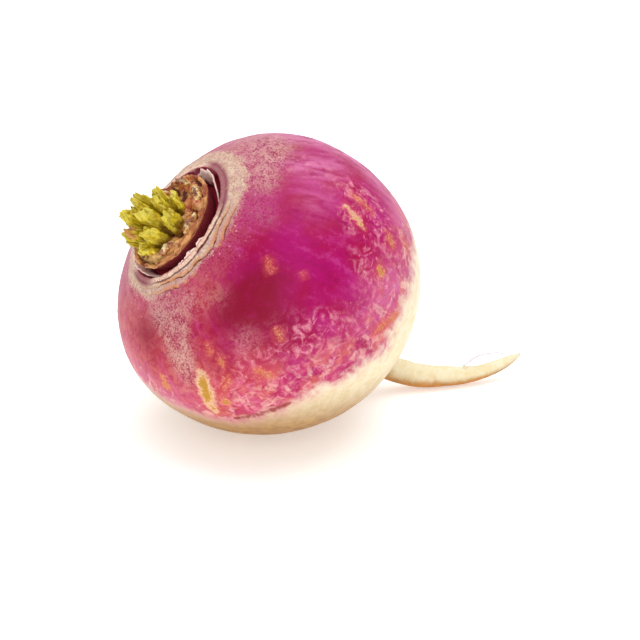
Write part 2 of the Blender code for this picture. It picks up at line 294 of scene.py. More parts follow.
def threadGroup():  # thin wavy lines that break off
    group, given = makeGroup("threads", {"Scale": 0.3, "Width": 0.03, "Cover": 0.5})
    inputs = {"Vector": given["Vector"], "Scale": given["Scale"], "Detail": 2.0, "Distortion": 1.6}
    wavy = addNode(group, "ShaderNodeTexNoise", inputs).outputs["Fac"]
    line = calc("ABSOLUTE", less(wavy, 0.5))
    thin = less(1.0, smooth(line, times(given["Width"], 0.3), given["Width"]))
    inputs = {"Vector": given["Vector"], "Scale": times(given["Scale"], 1.7), "Detail": 1.0}
    patchy = addNode(group, "ShaderNodeTexNoise", inputs).outputs["Fac"]
    level = less(0.7, times(given["Cover"], 0.4))
    return closeGroup(group, times(thin, smooth(patchy, level, plus(level, 0.08))))


def strokeGroup():  # short scratches in three directions
    group, given = makeGroup("strokes", {"Scale": 0.5, "Size": 0.3, "Cover": 0.3})
    inputs = {"Vector": given["Vector"], "Scale": times(given["Scale"], 0.8), "Detail": 2.0}
    bend = stretched(addNode(group, "ShaderNodeTexNoise", inputs).outputs["Color"], (0.45, 0.45, 0.45))
    turned = {"Vector": given["Vector"], "Axis": (0.3, 0.5, 0.8), "Angle": 0.9}
    spun = addNode(group, "ShaderNodeVectorRotate", turned, rotation_type="AXIS_ANGLE").outputs[0]
    directions = (given["Vector"], (1.0, 0.16, 1.0)), (spun, (0.14, 1.0, 1.0)), (spun, (1.0, 1.0, 0.18))
    whole = 0.0
    for vector, stretch in directions:
        inputs = {0: bend, 1: stretched(vector, stretch)}
        bent = addNode(group, "ShaderNodeVectorMath", inputs, operation="ADD").outputs[0]
        inputs = {"Vector": bent, "Scale": given["Scale"]}
        cells = addNode(group, "ShaderNodeTexVoronoi", inputs).outputs
        picked = addNode(group, "ShaderNodeSeparateColor", {0: cells["Color"]}).outputs[0]
        near = less(1.0, smooth(cells["Distance"], 0.0, given["Size"]))
        whole = calc("MAXIMUM", whole, times(calc("LESS_THAN", picked, given["Cover"]), near))
    return closeGroup(group, whole)


def speckGroup():  # scattered dots
    group, given = makeGroup("specks", {"Scale": 1.0, "Size": 0.3, "Cover": 0.3})
    inputs = {"Vector": given["Vector"], "Scale": given["Scale"]}
    cells = addNode(group, "ShaderNodeTexVoronoi", inputs).outputs
    near = less(1.0, smooth(cells["Distance"], times(given["Size"], 0.5), given["Size"]))
    picked = addNode(group, "ShaderNodeSeparateColor", {0: cells["Color"]}).outputs[0]
    return closeGroup(group, times(near, calc("LESS_THAN", picked, given["Cover"])))


blotches, threads, strokes, specks = blotchGroup(), threadGroup(), strokeGroup(), speckGroup()


def effect(group, vector, **values):
    inputs = {"Vector": vector, **{key.capitalize(): value for key, value in values.items()}}
    return addNode(vector.id_data, "ShaderNodeGroup", inputs, node_tree=group).outputs["Mask"]


# Bulb and taproot

bulb = {
    "radius": 38.0,
    "crownRise": 32.6,
    "baseDrop": 36.4,
    "shoulderPower": 2.2,
    "basePower": 2.05,
    "lobeHeight": 0.45,
    "lobeSize": 26.0,
    "fullSide": 1.3,
    "squat": 0.9,
    "neckRadius": 9.0,
    "rootStart": 4.2,
    "neckLength": 5.6,
    "sides": 288,
}

crown = {
    "oval": 0.87,
    "shift": 0.5,
    "stumpShift": 0.7,
    "dishRadius": 13.91,
    "dishDepth": 3.3,
    "lipRadius": 15.01,
    "lipRise": 0.3,
    "lipEnd": 15.5,  # where the lip starts to sink into the corky band, and where it is level with it
    "bandStart": 17.0,
    "bandRadius": 20.71,
    "bandEnd": 22.5,
    "bandRise": 0.25,
    "paleLip": 16.1,  # outer edge of the lip's pale skin
    "moatEdge": 15.05,  # where the dark moat starts
}

# Rings of the skin in each stretch, from the dish to the neck
rings = {"dish": 7, "wall": 13, "band": 32, "shoulder": 62, "base": 96, "neck": 16}

taproot = {
    "clear": 0.35,
    # along, sideways, rise of its underside as a share of the neck's height, radius
    "route": [
        (3.1, -1.0, 0.288, 3.4),
        (6.6, -2.3, 0.127, 3.2),
        (11.6, -4.2, 0, 3.05),
        (16.6, -6.2, 0, 2.7),
        (21.6, -7.7, 0.005, 2.35),
        (26.5, -8.8, 0.07, 1.9),
        (32.3, -9.1, 0.175, 1.6),
        (36.5, -8.8, 0.307, 1.1),
        (39.7, -8.3, 0.448, 0.3),
    ],
    "steps": 9,
}

# Where the skin turns from purple to white: bearing round the axis, height
blushEdge = [
    (-180, 14), (-160, 10), (-150, 4.5), (-143, 1.5), (-122, -1), (-113, -2), (-105, -6), (-95, -9),
    (-88, -12.5), (-67, -11.3), (-54, -12.7), (-30, -14), (0, -15), (45, -12), (90, -6), (130, 4), (180, 14),
]

# Outer edge of the corky band: bearing, distance from the axis
bandEdge = [
    (-180, 19.6), (-140, 19.8), (-100, 19.4), (-70, 20.4), (-30, 21.8), (20, 21.2), (90, 20.2), (180, 19.6),
]

# How far the mottled zone reaches above the white: bearing, height
mottleReach = [
    (-180, 8), (-160, 8), (-142, 14), (-120, 17), (-90, 16), (-60, 14), (-30, 10), (60, 10), (180, 8),
]

# Soft spots on the skin: bearing, height, size, strength
skinSpots = {
    "dusty": [
        (-153, 29, 4, 0.8), (-145, 27, 4.2, 0.9), (-141, 24, 4, 1), (-143, 20, 4, 0.9), (-142, 16, 3.5, 0.6),
        (-126, 27, 4, 0.5), (-113, 17, 4, 0.4), (-110, 25, 4, 0.3), (-60, 25, 4, 0.3), (-40, 26, 4, 0.4),
        (-23, 27, 6, 0.8), (-6, 25, 7, 0.9), (12, 24, 9, 0.8), (60, 22, 9, 0.6), (110, 24, 8, 0.7),
    ],
    "crimson": [
        (-100, 21, 7, 1), (-88, 21, 5, 0.6), (-100, 13, 6, 0.7), (-110, 22, 5, 0.6), (-127, 17, 4, 0.5),
        (-164, 25, 5, 0.8), (-150, 27, 2.5, 0.8), (120, 16, 12, 0.8),
    ],
    "rosy": [
        (-165, 25, 8, 1), (170, 22, 12, 0.9), (-121, 27, 6, 0.6), (-140, 14, 11, 0.9), (-150, 17, 9, 0.9),
        (-126, 8, 8, 0.8), (-112, 12, 7, 0.5), (-110, 26, 5, 0.7),
    ],
    # pale spots: partly pale streaks of the skin, partly a painted sheen on the bulb's upper and side edges
    "paleStreaksAndSheen": [
        (-25, 20, 4, 0.8), (-28, 15, 4, 0.7), (-20, 12, 4, 0.6), (0, 15, 5, 0.8), (7, 20, 5, 0.9),
        (-9, 6, 5, 0.7), (20, 25, 6, 1), (14, 18, 6, 1), (8, 12, 6, 0.9), (0, 6, 6, 0.8),
        (-19, -1, 5, 0.7), (-30, -8, 6, 0.7), (-47, 18, 5, 0.4), (-76, -5, 7, 0.5), (-62, -8, 6, 0.6),
        (-160, 11, 7, 0.7), (178, 16, 7, 0.7), (30, 5, 14, 0.5), (80, 2, 12, 0.4),
    ],
    "scratchy": [
        (-34, 11, 5, 0.8), (-38, 5.6, 5, 0.9), (-47, 8.6, 4, 0.8), (-55, 2, 6, 1), (-65, 1.7, 4, 0.8),
        (-44, -1, 6, 1), (-56, -4, 6, 0.9), (-66, -6, 6, 0.8), (-80, -6, 7, 0.9), (-96, 2, 7, 1),
        (-98, 9, 4, 0.6), (-107, 6, 7, 1), (-90, 7, 3, 0.9), (-118, 10, 6, 0.8), (-126, 6, 8, 1),
        (-139, 9, 6, 0.8), (-112, -1, 6, 0.9), (-25, 20, 4, 0.5), (20, 6, 10, 0.6), (75, 4, 11, 0.7),
        (125, 10, 10, 0.7),
    ],
}

# Corky scars: from and to (bearing, height), width, how golden
scars = [
    ((-136.5, 17.5), (-146, 6), 1.9, 1.0),
    ((-136.5, 9.5), (-138.5, 7.6), 0.9, 0.6),
    ((-134, 11.7), (-127, 14.2), 0.5, 0.5),
    ((-80.5, 22.6), (-84, 20.8), 0.3, 0.15),
    ((-61, -0.2), (-64, -2.4), 1.1, 0.7),
    ((-44, 11.4), (-51.5, 6.0), 0.5, 0.9),
    ((-38, 9), (-42, 4), 0.5, 0.45),
    ((-101.5, 14.4), (-103.5, 12.2), 0.3, 0.6),
    ((-126.5, 21.0), (-128, 18.6), 0.5, 0.3),
    ((-127.5, 18.0), (-125.5, 15.8), 0.7, 0.4),
    ((-83, -7.2), (-71, -12.2), 1.1, 0.3),
    ((-78, 16.2), (-79.5, 15.2), 0.05, 0),
    ((-157.5, 18.5), (-160.5, 14.3), 0.9, 0.7),
    ((-119, 11.6), (-115.5, 7.6), 1.2, 0.3),
    ((-46.5, -1.6), (-51.5, -4.0), 1.0, 0.4),
    ((60, 12), (66, 5), 1.2, 0.7),
    ((118, 18), (123, 12), 1.4, 0.8),
    ((150, 22), (147, 19), 1.0, 0.6),
    ((12, 10), (15, 7), 0.8, 0.5),
]

# A healed crack low on the bulb
crack = {"from": (-143, 2.3), "to": (-121, -1.8), "width": 1.0, "depth": 0.5}

# Height of what breaks the smooth skin
skinRelief = {
    "waves": 0.10,
    "ripples": 0.03,
    "scarEdge": 0.08,
    "scarPit": 0.4,
    "band": 0.12,
    "layerStep": 0.34,
    "bandRipples": 0.06,
    "bandWaves": 0.22,
    "moat": 0.25,
    "neckRings": 0.08,
    "rootRings": 0.05,
    "rootKnobs": 0.28,
}

# Dry layers of the band: where the first starts, how wide each is, how wavy, and the bearing they show at
dryLayers = {"start": 16.3, "width": 1.9, "waves": 1.6, "ripples": 0.4, "bearing": -105}

farAway = 30  # mm, as good as nowhere near
noScar = -3


def superCurve(share, power):
    return (1 - share**power) ** (1 / power)


def domeHeight(radius):
    return bulb["crownRise"] * superCurve(radius / bulb["radius"], bulb["shoulderPower"])


def bowlHeight(radius):
    return -bulb["baseDrop"] * superCurve(radius / bulb["radius"], bulb["basePower"])


lipHeight = domeHeight(crown["lipRadius"]) + crown["lipRise"]
dishFloor = lipHeight - crown["dishDepth"]


def moatWall(height):
    share = min(1, max(0, (height - dishFloor) / crown["dishDepth"]))
    return crown["dishRadius"] + (crown["lipRadius"] - crown["dishRadius"]) * share


def crownHeight(radius):  # outside the lip
    lip = smoothStep(crown["bandStart"], crown["lipEnd"], radius)
    rise = crown["bandRise"] + (crown["lipRise"] - crown["bandRise"]) * lip
    fade = smoothStep(crown["bandRadius"], crown["bandRadius"] + 1.5, radius)
    return domeHeight(radius) + rise * (1 - fade)


def evenly(start, stop, steps):
    return [start + (stop - start) * step / steps for step in range(steps)]


def shares(steps):  # from 0 to 1, with both ends
    return [*evenly(0, 1, steps), 1]


def roundStretch(rise, power, start, stop, steps):
    # radius and height along the bulb's curve, from one angle above the widest ring to another
    points = []
    for angle in evenly(start, stop, steps):
        out, along = math.cos(angle) ** (2 / power), math.sin(angle) ** (2 / power)
        points.append((bulb["radius"] * out, rise * along))
    return points


def meridian():
    # radius and height of every ring, from the dish out over the band, round the bulb and down the neck
    points = [(radius, dishFloor) for radius in evenly(4, crown["dishRadius"] - 0.3, rings["dish"])]
    for share in evenly(0, 1, rings["wall"]):
        height = dishFloor + crown["dishDepth"] * share**1.3
        points.append((moatWall(height) - 0.3 * (1 - share) ** 3, height))
    band = evenly(crown["lipRadius"], crown["bandEnd"], rings["band"])
    points += [(radius, crownHeight(radius)) for radius in band]
    power = bulb["shoulderPower"]
    start = math.acos((crown["bandEnd"] / bulb["radius"]) ** (power / 2))
    points += roundStretch(bulb["crownRise"], power, start, 0, rings["shoulder"])
    power = bulb["basePower"]
    end = math.acos((bulb["neckRadius"] / bulb["radius"]) ** (power / 2))
    points += roundStretch(-bulb["baseDrop"], power, 0, end, rings["base"])
    top, thin = bowlHeight(bulb["neckRadius"]), bulb["rootStart"]
    for share in shares(rings["neck"]):
        radius = thin + (bulb["neckRadius"] - thin) * (1 - share) ** 2.4
        points.append((radius, top - bulb["neckLength"] * share**1.5))
    return points


def unevenness(point, radius):
    onBody = min(1, max(0, (radius - crown["bandRadius"]) / (0.5 * crown["bandRadius"])))
    lobes = bulb["lobeHeight"] * ripple(point, bulb["lobeSize"])
    lowSide = max(0, -point.x / bulb["radius"]) * max(0, 0.5 + point.z / bulb["radius"])
    upward = Vector((math.cos(lying["lean"]), 0, math.sin(lying["lean"])))
    squat = bulb["squat"] * point.normalized().dot(upward) ** 2
    return onBody * (lobes + bulb["fullSide"] * lowSide - squat)


def skinPoint(radius, height, turn):
    share = smoothStep(bulb["radius"], crown["bandRadius"], radius) if height > 0 else 0
    across = radius * (1 - (1 - crown["oval"]) * share)
    point = Vector((crown["shift"] * share + radius * math.cos(turn), across * math.sin(turn), height))
    return point + unevenness(point, radius) * point.normalized()


def onBulb(bearing, height):  # a place on the skin from its bearing in degrees and its height
    rise, power = bulb["baseDrop"], bulb["basePower"]
    if height > 0:
        rise, power = bulb["crownRise"], bulb["shoulderPower"]
    radius = bulb["radius"] * superCurve(abs(height) / rise, power)
    return skinPoint(radius, height, math.radians(bearing))


def taprootStations():
    neck = laidDown @ Vector((0, 0, bowlHeight(bulb["neckRadius"]) - bulb["neckLength"]))
    stations = [Vector((*neck, bulb["rootStart"]))]
    for along, sideways, rise, radius in taproot["route"]:
        stations.append(Vector((neck.x + along, sideways, taproot["clear"] + rise * neck.z + radius, radius)))
    return stations


def sectionsOfTaproot():
    line = smoothLine(taprootStations(), taproot["steps"])[1:]
    centres = [upright @ station.xyz for station in line]
    return carriedRings(centres, [s.w for s in line], bulb["sides"], Vector((1, 0, 0)), Vector((0, 0, -1)))


def scarReach(place, start, stop, width):
    # distance inside a spindle-shaped mark between two points, less than 0 outside it
    along = stop - start
    share = (place - start).dot(along) / along.length_squared
    if not -0.3 < share < 1.3:
        return noScar
    held = min(1, max(0, share))
    away = (place - (start + held * along)).length
    return width * (4 * held * (1 - held)) ** 0.55 - away if 0 < share < 1 else -away


def deepestScar(place, marks):  # how far inside the nearest scar, and how golden it is
    deepest, golden = noScar, 0
    for start, stop, width, gold in marks:
        if (place - start).length < 20:
            found = scarReach(place, start, stop, width)
            if found > deepest:
                deepest, golden = found, gold
    return deepest, golden


def spotWeight(place, spots):
    total = 0
    for centre, size, strength in spots:
        away = (place - centre).length_squared / size**2
        if away < 5:
            total += strength * math.exp(-away)
    return min(1, total)


def layerPhase(reach, place):
    # how many dry layers lie one over the other, from the lip outwards
    wavy = dryLayers["waves"] * ripple(place, 8.0, 4) + dryLayers["ripples"] * ripple(place, 2.4, 9)
    return (reach - dryLayers["start"] + wavy) / dryLayers["width"]


def skinReaches(profile):
    # how far out each ring lies: level as far as the lip, then over the skin
    inside = [radius for radius, height in profile if radius < crown["lipRadius"] and height > 0]
    outside = profile[len(inside) :]
    reaches = [*inside, crown["lipRadius"]]
    for (radius, height), (nextRadius, nextHeight) in zip(outside, outside[1:]):
        reaches.append(reaches[-1] + math.hypot(nextRadius - radius, nextHeight - height))
    return reaches


def taprootMarks(vert, turn, along):
    # roughens the root, and tells what its skin is like there
    place = vert.co.copy()
    knobbly = smoothStep(9, 7.6, along)
    ringed = ripple(Vector((0.4 * math.cos(turn), 0.4 * math.sin(turn), along * 4.6)), 0.55, 3)
    knobs = max(0, ripple(place, 3.0, 5) - 0.12)
    rough = skinRelief["rootRings"] * ringed + skinRelief["rootKnobs"] * knobs + 0.04 * ripple(place, 1.3, 2)
    vert.co += vert.normal * knobbly * rough
    facing = (laidDown.to_3x3() @ vert.normal).z
    return {
        "blush": -farAway,
        "reach": 100,
        "cork": -farAway,
        "scar": noScar,
        "cracked": noScar,
        "rootAlong": 1 + along,
        "earthAndShadeBelow": smoothStep(0.45, -0.8, facing),
    }


def bandRelief(place, cork, layered, phase):
    share = phase % 1
    steps = skinRelief["layerStep"] * layered * (share**0.7 - 1.3 * smoothStep(0.8, 1, share))
    waves = skinRelief["bandRipples"] * ripple(place, 1.2, 6)
    waves += skinRelief["bandWaves"] * ripple(place, 2.8, 8)
    return smoothStep(-0.3, 0.2, cork) * (skinRelief["band"] + steps + waves)


def bulbMarks(vert, turn, radius, height, reach, marks, crackMark):
    # raises and pits the skin of the bulb, and tells what it is like there
    place = vert.co.copy()
    bearing = (math.degrees(turn) + 180) % 360 - 180
    facing = (laidDown.to_3x3() @ vert.normal).z
    lip = crown["lipRadius"]
    cork = eased(bandEdge, bearing) + 0.5 * ripple(place, 3.2, 7) - reach
    scar, gold = deepestScar(place, marks)
    cracked = scarReach(place, *crackMark)
    aside = abs(bearing - dryLayers["bearing"])
    layered = 0.2 + 0.8 * (smoothStep(62, 25, aside) if bearing < 0 else 0)
    phase = layerPhase(reach, place)
    relief = skinRelief["waves"] * ripple(place, 5.5) + skinRelief["ripples"] * ripple(place, 1.9, 3)
    relief *= smoothStep(-0.2, 1.5, -cork)
    relief += skinRelief["scarEdge"] * smoothStep(-0.5, 0.2, scar)
    relief -= skinRelief["scarPit"] * smoothStep(0.2, 1.1, scar)
    relief -= crack["depth"] * smoothStep(-0.1, 0.6, cracked)
    if reach > lip - 0.05 and cork > -0.6 and height > 0:
        relief += bandRelief(place, cork, layered, phase)
    if reach < lip + 0.6:
        relief += skinRelief["moat"] * ripple(place, 1.6, 2) * smoothStep(10, 13, radius)
    if height < -30:
        flattened = Vector((place.x / 3, place.y / 3, place.z))
        relief += skinRelief["neckRings"] * ripple(flattened, 0.7, 1) * smoothStep(-30, -36, height)
    vert.co += vert.normal * relief
    aboveWhite = (height - eased(blushEdge, bearing)) * math.sqrt(max(0.15, 1 - (height / 40) ** 2))
    top = eased(mottleReach, bearing)
    inMauve = max(
        smoothStep(-72, -50, bearing) * smoothStep(25, 5, bearing),
        smoothStep(150, 172, abs(bearing)),
    )
    return {
        "blush": aboveWhite if height > -30 else -farAway,
        "mottle": smoothStep(top, 0.35 * top, aboveWhite) * smoothStep(-3, 1.5, aboveWhite),
        "reach": reach,
        "cork": cork if height > 0 else -farAway,
        "scar": scar,
        "gold": gold,
        "cracked": cracked,
        "layer": phase,
        "layered": layered,
        # moat: how deep in the moat, for the painted shade there
        "moat": smoothStep(0, 1, (lipHeight - height) / crown["dishDepth"]) if reach < lip else 0,
        "mauve": inMauve * smoothStep(17.6, 16.4, reach) if height > 0 else 0,
        # darker golden-brown where the skin faces the floor: partly stain, partly painted shade
        "earthAndShadeBelow": smoothStep(28, 5, (laidDown @ place).z) * smoothStep(0.15, -0.65, facing),
    }


def makeSkin(material):
    profile = meridian()
    reaches = skinReaches(profile)
    turns = circle(bulb["sides"])
    bm = loft([[skinPoint(*ring, turn) for turn in turns] for ring in profile] + sectionsOfTaproot())
    names = ["blush", "mottle", "reach", "cork", "scar", "gold", "cracked", "layer", "layered"]
    names += ["moat", "mauve", "earthAndShadeBelow", "rootAlong", *skinSpots]
    layers = newLayers(bm, *names)
    grain = bm.verts.layers.float_vector.new("grain")
    turnOf, ringOf = bm.verts.layers.int["turn"], bm.verts.layers.int["ring"]
    spots = {}
    for name, rows in skinSpots.items():
        spots[name] = [(onBulb(*at), size, much) for *at, size, much in rows]
    marks = [(onBulb(*start), onBulb(*stop), width, gold) for start, stop, width, gold in scars]
    crackMark = (onBulb(*crack["from"]), onBulb(*crack["to"]), crack["width"])
    for vert in bm.verts:
        ring, turn = vert[ringOf], turns[vert[turnOf]]
        if ring >= len(profile):
            along = (ring - len(profile) + 1) / taproot["steps"]
            told = taprootMarks(vert, turn, along)
            vert[grain] = (math.cos(turn) * 4, math.sin(turn) * 4, 100 + along * 4.6)
        else:
            place = vert.co.copy()
            told = bulbMarks(vert, turn, *profile[ring], reaches[ring], marks, crackMark)
            told |= {name: spotWeight(place, rows) for name, rows in spots.items()}
            vert[grain] = (math.cos(turn) * 20, math.sin(turn) * 20, reaches[ring])
        tell(vert, layers, told)
    return addPiece("bulb_and_taproot", bm, material)


skinTones = {
    "deep": "a80048",
    "bright": "ae0468",
    "rosy": "b8303e",
    # partly pale skin streaks, partly painted sheen on the bulb's edges
    "paleStreaksAndSheen": "dc7fae",
    "lightStreak": "d0489a",
    "darkStreak": "8a0044",
    "salmon": "d8706a",
    "crimson": "8e0430",
    "dusty": "b5606c",
    "grit": "d6aca0",
    "sooty": "7a2038",
    "nearBand": "c27082",
    "dots": "e3a6ac",
    "bruised": "d8608a",
    "flaked": "edaab2",
    "scratchPink": "e98a98",
    "scratchPale": "f0b4a8",
    "mottled": "ca4a78",
    "rusty": "da7850",
    "pale": "f2c3b4",
    "white": "f0e6c8",
    "cream": "ebd9ac",
    "pores": "c39e68",
    # the next two: golden-brown underside, partly earthy stain and partly painted shade
    "earthy": "b58236",
    "earthyDark": "96662a",
    "stained": "c07a2c",
    "pinkEdge": "e8a9b4",
}

scarTones = {
    "red": "d4574c",
    "golden": "e0a055",
    "paleRed": "eba092",
    "paleGold": "f3d9a4",
    "rim": "f4dcae",
    "halo": "c8464c",
    "core": "b88a24",
    "crack": "963a34",
}

bandTones = {
    "cork": "b98c80",
    "corkPale": "e6d0b8",
    "torn": "b78394",
    "outer": "b45468",
    "tan": "d98648",
    "dots": "5c3226",
    # painted shadow where each dry layer steps down
    "line": "4a1d17",
    "mauve": "8a3c52",
    "lip": "dc9f8c",
    "lipPale": "f6dac6",
    # painted shadow beside the lip
    "lipShadowLine": "5a221c",
    "moat": "9c2c48",
    "moatPale": "b8607a",
    "moatDeepShade": "a01c34",
}


def dustyTop(tree, spot, fine, medium, torn, streaks):
    # the purple, from its plain colour to the dust and grit under the crown
    broad = cloud(spot, 9.0, detail=3)
    lively = plus(streaks, cloud(spot, 1.1, detail=4, rough=0.7))
    rosy, dusty = field(tree, "rosy"), field(tree, "dusty")
    paleStreaksAndSheen = smooth(plus(streaks, times(medium, 0.6)), 0.45, 1.0)
    grit = smooth(plus(times(fine, 1.1), times(torn, 0.7)), 0.76, 1.06)
    sooty = smooth(plus(fine, times(torn, 0.4)), 0.66, 0.56)
    dots = effect(specks, spot, scale=0.9, size=0.3, cover=0.35)
    nearBand = smooth(plus(field(tree, "cork"), times(medium, 6.0)), -6.0, 2.0)
    purple = paint(
        skinTones,
        mixed(smooth(broad, 0.35, 0.65), skinTones["deep"], skinTones["bright"]),
        (times(rosy, smooth(plus(medium, times(broad, 0.5)), 0.4, 0.8), 0.95), "rosy"),
        # pale streaky patches: partly skin streaks, partly painted sheen on the bulb's edges
        (times(field(tree, "paleStreaksAndSheen"), paleStreaksAndSheen), "paleStreaksAndSheen"),
        (times(smooth(lively, 1.0, 1.3), 0.4), "lightStreak"),
        (times(smooth(lively, 0.95, 0.7), 0.4), "darkStreak"),
        (times(rosy, smooth(torn, 0.4, 0.6), 0.5), "salmon"),
        (times(field(tree, "crimson"), smooth(medium, 0.0, 0.5)), "crimson"),
        (times(dusty, 0.35), "dusty"),
        (times(grit, smooth(dusty, 0.0, 0.9), 0.85), "grit"),
        (times(sooty, smooth(dusty, 0.1, 0.8), 0.6), "sooty"),
        (times(nearBand, smooth(fine, 0.35, 0.6), 0.5), "nearBand"),
        (times(dots, nearBand, 0.6), "dots"),
    )
    return purple, times(grit, dusty)


def scratchedTop(tree, purple, spot, around, fine, medium, torn):
    # bruises, flakes and scratches, and the mottled zone where the purple runs out
    scratchy, mottle = field(tree, "scratchy"), field(tree, "mottle")
    long = effect(strokes, spot, scale=0.5, size=0.15, cover=times(scratchy, 0.6))
    short = effect(strokes, around, scale=0.85, size=0.17, cover=times(scratchy, 0.55))
    scratches = times(calc("MAXIMUM", long, short), smooth(medium, 0.3, 0.5))
    scratchTone = mixed(smooth(torn, 0.4, 0.6), skinTones["scratchPink"], skinTones["scratchPale"])
    mottled = smooth(cloud(spot, 4.6, detail=4, rough=0.6, distortion=0.6), 0.38, 0.62)
    rusty = smooth(cloud(spot, 5.5, detail=4, rough=0.6, distortion=0.8), 0.48, 0.68)
    pale = smooth(cloud(spot, 3.0, detail=4, rough=0.64, distortion=0.8), 0.48, 0.70)
    purple = paint(
        skinTones,
        purple,
        (times(scratchy, smooth(torn, 0.40, 0.66), 0.6), "bruised"),
        (times(scratchy, smooth(plus(torn, times(fine, 0.35)), 0.68, 0.9), 0.7), "flaked"),
        (times(smooth(scratches, 0.0, 0.8), 0.75), scratchTone),
        (times(mottled, mottle, 0.6), "mottled"),
        (times(rusty, mottle, 0.5), "rusty"),
        (times(pale, mottle, 0.65), "pale"),
    )
    return purple, scratches


def whiteBelow(tree, spot, around, medium):
    # golden-brown on the side that faces the ground: partly earthy stain, partly painted shade
    earthAndShadeBelow = field(tree, "earthAndShadeBelow")
    earthy = mixed(smooth(medium, 0.3, 0.7), skinTones["earthy"], skinTones["earthyDark"])
    stained = plus(cloud(around, 3.2, detail=4, rough=0.6), times(earthAndShadeBelow, 0.4))
    onRoot = smooth(field(tree, "rootAlong"), 0.5, 1.0)
    return paint(
        skinTones,
        mixed(smooth(medium, 0.35, 0.7), skinTones["white"], skinTones["cream"]),
        (times(effect(specks, spot, scale=0.45, size=0.1, cover=0.4), 0.3), "pores"),
        # earthy stain with painted shade on the downward-facing side
        (earthAndShadeBelow, earthy),
        (times(smooth(stained, 0.66, 0.92), onRoot, 0.6), "stained"),
    )


def withScars(tree, skin, fine, torn):
    gold = field(tree, "gold")
    crisp = smooth(gold, 0.75, 1.0)
    ragged = plus(swing(torn, 4.0), swing(fine, 2.4))
    scar = plus(field(tree, "scar"), times(ragged, plus(1.0, times(crisp, -0.25))))
    cracked = plus(field(tree, "cracked"), swing(torn, 3.0), swing(fine, 0.8))
    cork = paint(
        scarTones,
        mixed(gold, scarTones["red"], scarTones["golden"]),
        (smooth(fine, 0.5, 0.62), mixed(gold, scarTones["paleRed"], scarTones["paleGold"])),
        (times(crisp, smooth(scar, 0.55, 0.2)), "rim"),
    )
    skin = paint(
        scarTones,
        skin,
        (times(smooth(scar, -2.4, 0.2), 0.5), "halo"),
        (times(smooth(scar, -0.9, 0.8), plus(times(gold, 0.4), 0.5)), cork),
        (times(smooth(scar, 0.35, 0.8), gold, 0.85), "core"),
        (times(smooth(cracked, -0.5, 0.3), 0.85), "crack"),
    )
    return skin, scar


def withBand(tree, skin, spot, fine, medium, torn):
    # the corky band round the crown, its dry layers, the lip and the moat
    band = plus(field(tree, "cork"), swing(torn, 5.0), swing(fine, 2.2))
    layered, mauve = field(tree, "layered"), field(tree, "mauve")
    layer = plus(field(tree, "layer"), swing(torn, 0.5))
    phase, strip = calc("FRACT", layer), calc("FLOOR", layer)
    corkTone = smooth(plus(fine, times(medium, 0.5)), 0.55, 0.9)
    tanPatches = smooth(plus(torn, fine), 0.8, 1.0)
    cork = paint(
        bandTones,
        mixed(corkTone, bandTones["cork"], bandTones["corkPale"]),
        (times(smooth(torn, 0.5, 0.68), 0.5), "torn"),
        (times(layered, smooth(strip, 0.0, 2.0), smooth(medium, 0.3, 0.55), 0.75), "outer"),
        (times(layered, smooth(phase, 0.4, 0.7), tanPatches, 0.75), "tan"),
        (times(effect(specks, spot, scale=0.7, size=0.16, cover=0.35), 0.6), "dots"),
        # dark line where each dry layer steps down: painted shadow under the layer's edge
        (times(smooth(phase, 0.8, 0.93), layered, smooth(medium, 0.34, 0.5), 0.9), "line"),
        (times(mauve, smooth(medium, 0.2, 0.45), 0.9), "mauve"),
    )
    lip = mixed(smooth(fine, 0.35, 0.6), bandTones["lip"], bandTones["lipPale"])
    lip = paint(bandTones, lip, (times(mauve, 0.8), "mauve"))
    moat = mixed(smooth(medium, 0.35, 0.7), bandTones["moat"], bandTones["moatPale"])
    # darker red deeper in the moat: painted shade
    moat = paint(bandTones, moat, (smooth(field(tree, "moat"), 0.4, 1.0), "moatDeepShade"))
    reach = plus(field(tree, "reach"), swing(medium, 0.9))
    edge, dark = crown["paleLip"], crown["moatEdge"]
    # dark line just outside the lip's pale edge: painted shadow where the lip steps down to the band
    lipShadowLine = times(smooth(reach, edge - 0.2, edge + 0.1), smooth(reach, edge + 0.6, edge + 0.25))
    skin = paint(
        bandTones,
        skin,
        (smooth(band, -1.2, 0.9), cork),
        (smooth(reach, edge + 0.2, edge - 0.2), lip),
        (times(lipShadowLine, smooth(layered, 0.2, 0.6), 0.85), "lipShadowLine"),
        (smooth(reach, dark + 0.15, dark - 0.15), moat),
    )
    return skin, band


